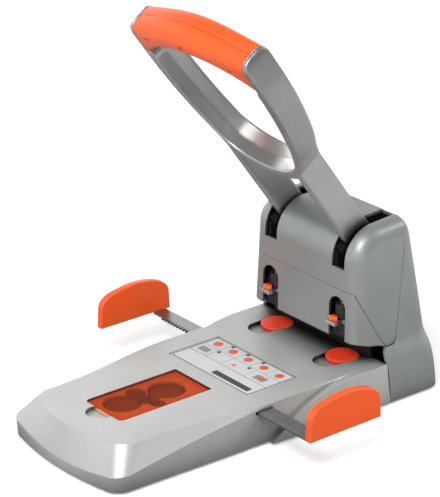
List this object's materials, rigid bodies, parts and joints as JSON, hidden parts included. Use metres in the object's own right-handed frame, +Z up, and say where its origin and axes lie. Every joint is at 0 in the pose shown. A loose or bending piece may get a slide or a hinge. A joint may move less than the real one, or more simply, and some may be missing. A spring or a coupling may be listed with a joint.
{
  "type": "two-hole paper punch",
  "caption": "Heavy-duty lever paper punch: long D-loop handle, arched head with hollow punches, replaceable cutting discs and coupled side guides on racks.",
  "frame": {"origin": "centre of the footprint on the table under the feet, on the mid-plane between the two punches", "axes": "+Z up, -Y towards the user (front of the deck), +X to the user's right"},
  "size_m": [0.2662, 0.3241, 0.3251],
  "materials": {
    "grey_shell": "fine-grained silver-grey paint",
    "light_shell": "fine-grained silver-grey paint",
    "die_cast": "satin silver die casting",
    "orange_grip": "satin moulded orange",
    "orange_gloss": "glossy moulded orange",
    "disc_red": "matt moulded red-orange",
    "orange_clear": "clear orange moulding",
    "tray_red": "matt moulded dark red",
    "steel": "brushed",
    "zinc": "zinc plated",
    "dark_steel": "black painted steel",
    "black_plastic": "fine-grained black",
    "rubber": "matt",
    "bronze": "sintered bronze",
    "label_print": "printed plate"
  },
  "bodies": {
    "frame": {"base_housing": "light_shell", "base_plate": "dark_steel", "base_screws": "zinc", "rubber_feet": "rubber", "label_plate": "label_print", "storage_tray": "tray_red", "spare_cutting_discs": "disc_red", "pinion_axle": "zinc", "rack_retainer": "black_plastic", "head_upper_cover": "grey_shell", "head_lower_cover": "grey_shell", "frame_plate_left": "dark_steel", "frame_plate_right": "dark_steel", "frame_bolts": "zinc", "frame_bridge": "dark_steel", "anvil_plate": "steel", "paper_stop": "grey_shell", "pivot_shaft": "steel", "pivot_bush_left": "bronze", "pivot_bush_right": "bronze", "shaft_clips": "steel", "cover_screws": "zinc", "punch_guide_left": "black_plastic", "punch_guide_right": "black_plastic", "return_spring_left": "steel", "return_spring_right": "steel"},
    "handle": {"handle_lever": "die_cast", "grip_front_shell": "orange_grip", "grip_rear_shell": "orange_grip", "grip_screws": "zinc", "drive_pin_left": "steel", "drive_pin_right": "steel"},
    "punch_unit_left": {"punch_carrier_left": "dark_steel", "punch_left": "steel"},
    "punch_unit_right": {"punch_carrier_right": "dark_steel", "punch_right": "steel"},
    "side_guide_left": {"guide_rack_left": "steel", "guide_plate_left": "orange_gloss"},
    "side_guide_right": {"guide_rack_right": "steel", "guide_plate_right": "orange_gloss"},
    "pinion": {"guide_pinion": "black_plastic"},
    "disc_left": {"cutting_disc_left": "disc_red"},
    "disc_right": {"cutting_disc_right": "disc_red"},
    "lid": {"storage_lid": "orange_clear"},
    "rear_bin": {"rear_cover": "grey_shell"},
    "tab_left": {"release_tab_left": "zinc"},
    "tab_right": {"release_tab_right": "zinc"},
    "toggle_left": {"release_toggle_left": "orange_gloss"},
    "toggle_right": {"release_toggle_right": "orange_gloss"}
  },
  "joints": [
    {"name": "handle_hinge", "type": "hinge", "parent": "frame", "child": "handle", "pos_m": [0, 0.1123, 0.121], "axis": [1, 0, 0], "range_deg": [-6, 46]},
    {"name": "punch_slide_left", "type": "slide", "parent": "frame", "child": "punch_unit_left", "axis": [0, 0, -1], "range_m": [-0.00235, 0.0174], "deforming": ["return_spring_left"]},
    {"name": "punch_slide_right", "type": "slide", "parent": "frame", "child": "punch_unit_right", "axis": [0, 0, -1], "range_m": [-0.00235, 0.0174], "deforming": ["return_spring_right"]},
    {"name": "guide_slide_left", "type": "slide", "parent": "frame", "child": "side_guide_left", "axis": [-1, 0, 0], "range_m": [-0.038, 0.0215]},
    {"name": "guide_slide_right", "type": "slide", "parent": "frame", "child": "side_guide_right", "axis": [1, 0, 0], "range_m": [-0.0381, 0.0216]},
    {"name": "pinion_spin", "type": "hinge", "parent": "frame", "child": "pinion", "pos_m": [0, 0.0085, 0.0285], "axis": [0, 0, 1], "range_deg": [-121, 69]},
    {"name": "disc_spin_left", "type": "hinge", "parent": "frame", "child": "disc_left", "pos_m": [-0.04, 0.09, 0.031], "axis": [0, 0, 1], "continuous": true},
    {"name": "disc_spin_right", "type": "hinge", "parent": "frame", "child": "disc_right", "pos_m": [0.04, 0.09, 0.031], "axis": [0, 0, 1], "continuous": true},
    {"name": "lid_hinge", "type": "hinge", "parent": "frame", "child": "lid", "pos_m": [0, -0.0297, 0.033], "axis": [-1, 0, 0], "range_deg": [0, 110]},
    {"name": "rear_bin_slide", "type": "slide", "parent": "frame", "child": "rear_bin", "axis": [0, 1, 0], "range_m": [0, 0.06]},
    {"name": "tab_slide_left", "type": "slide", "parent": "frame", "child": "tab_left", "axis": [0, -1, 0], "range_m": [0, 0.006]},
    {"name": "toggle_hinge_left", "type": "hinge", "parent": "tab_left", "child": "toggle_left", "pos_m": [-0.043, 0.0807, 0.066], "axis": [0, 0, -1], "range_deg": [0, 70]},
    {"name": "tab_slide_right", "type": "slide", "parent": "frame", "child": "tab_right", "axis": [0, -1, 0], "range_m": [0, 0.006]},
    {"name": "toggle_hinge_right", "type": "hinge", "parent": "tab_right", "child": "toggle_right", "pos_m": [0.037, 0.0807, 0.066], "axis": [0, 0, -1], "range_deg": [0, 70]}
  ],
  "couplings": [
    {"joint": "punch_slide_left", "follows": "handle_hinge", "m_per_rad": 0.021623},
    {"joint": "punch_slide_right", "follows": "handle_hinge", "m_per_rad": 0.021623},
    {"joint": "guide_slide_right", "follows": "guide_slide_left", "ratio": 1},
    {"joint": "pinion_spin", "follows": "guide_slide_left", "rad_per_m": 55.172}
  ]
}
